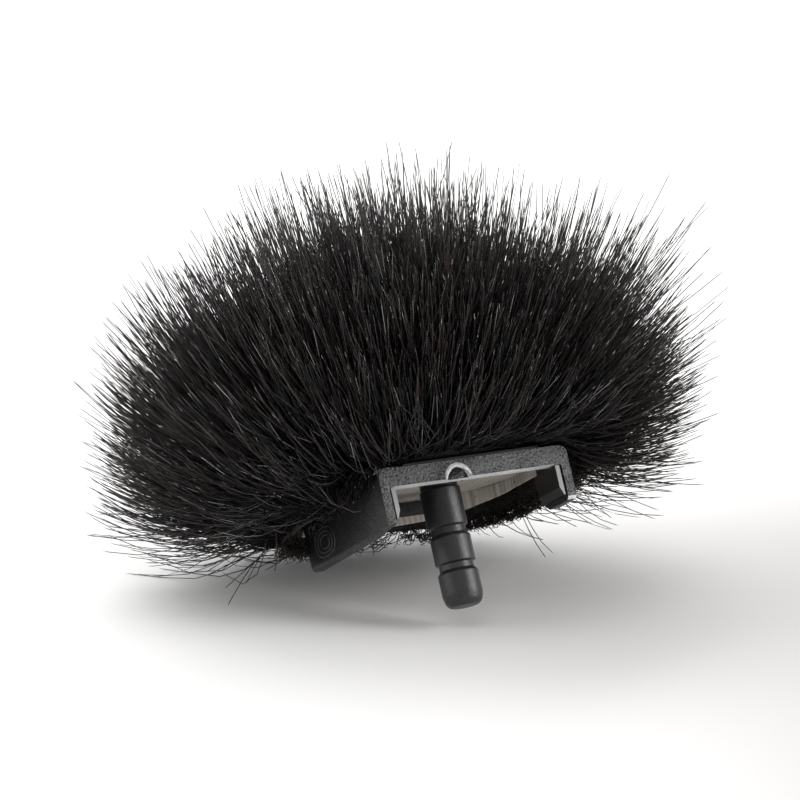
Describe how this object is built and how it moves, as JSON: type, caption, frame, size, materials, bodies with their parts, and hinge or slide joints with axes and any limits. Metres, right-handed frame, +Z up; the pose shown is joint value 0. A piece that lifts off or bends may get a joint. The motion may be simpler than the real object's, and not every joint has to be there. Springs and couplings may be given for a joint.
{
  "type": "clip-on fur windscreen",
  "caption": "Black long-pile fur windscreen on a moulded clip with a solid dummy jack plug and snap-fit arms, for the top of a small wireless clip-on transmitter.",
  "frame": {"origin": "middle of the front bar's underside, the face that rests on the transmitter's top", "axes": "+Z up into the fur (the plug points along -Z), +X along the front bar towards the short hook, +Y from the front bar to the back"},
  "size_m": [0.0464, 0.0434, 0.0358],
  "materials": {
    "clip_plastic": "fine moulded grain, black",
    "strip_plastic": "smooth satin black",
    "plug_plastic": "satin black with fine grain",
    "bond_tape": "matte adhesive film",
    "lining_knit": "fine knit, beige",
    "open_cell_foam": "open-cell foam, dark grey",
    "fur_backing": "knit backing with curly pile roots",
    "hem_thread": "overlock thread",
    "fur_pile": "long glossy pile, black"
  },
  "bodies": {
    "root": {"clip_frame": "clip_plastic", "dummy_plug": "plug_plastic", "bond_tape": "bond_tape", "lining_ceiling_front": "lining_knit", "lining_ceiling_rear": "lining_knit", "lining_wall": "lining_knit", "foam_core": "open_cell_foam", "hem_band": "fur_backing", "hem_thread": "hem_thread", "crown_seam_thread": "hem_thread", "fur_wall_front": "fur_pile", "fur_wall_right": "fur_pile", "fur_wall_rear": "fur_pile", "fur_wall_left": "fur_pile", "fur_crown": "fur_pile"},
    "left_arm": {"left_arm": "clip_plastic", "left_grip_strip": "strip_plastic"},
    "right_hook": {"right_hook": "clip_plastic", "right_grip_strip": "strip_plastic"}
  },
  "joints": [
    {"name": "left_arm_flex", "type": "hinge", "parent": "root", "child": "left_arm", "pos_m": [-0.0084, 0.0003, 0], "axis": [0, 0, 1], "range_deg": [0, 2.5], "stiffness_Nm_per_rad": 0.3},
    {"name": "right_hook_flex", "type": "hinge", "parent": "root", "child": "right_hook", "pos_m": [0.0084, 0.0012, 0.0008], "axis": [0, -1, 0], "range_deg": [0, 4], "stiffness_Nm_per_rad": 0.1}
  ]
}
